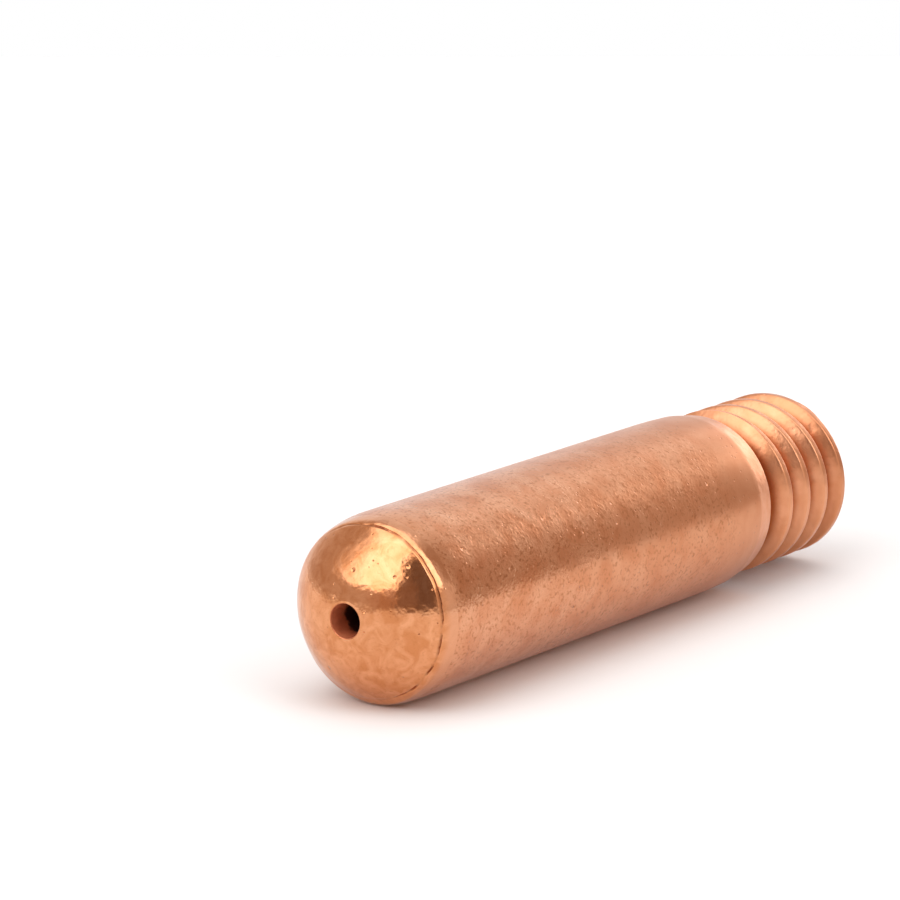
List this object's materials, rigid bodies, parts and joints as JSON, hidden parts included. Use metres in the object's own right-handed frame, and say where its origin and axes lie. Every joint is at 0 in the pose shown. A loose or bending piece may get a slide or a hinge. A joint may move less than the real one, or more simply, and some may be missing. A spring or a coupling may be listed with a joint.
{
  "type": "welding contact tip",
  "caption": "Turned copper welding contact tip: domed nose with a central wire hole, plain round barrel and screw-threaded rear end.",
  "frame": {"origin": "centre of the flat face at the threaded end, on which the tip stands", "axes": "+Z along the axis, from the threaded end to the domed nose"},
  "size_m": [0.0066, 0.0066, 0.0286],
  "materials": {
    "copper": "satin tumbled copper, polished at the nose and bright on the cut thread"
  },
  "bodies": {
    "root": {"contact_tip": "copper"}
  },
  "joints": []
}
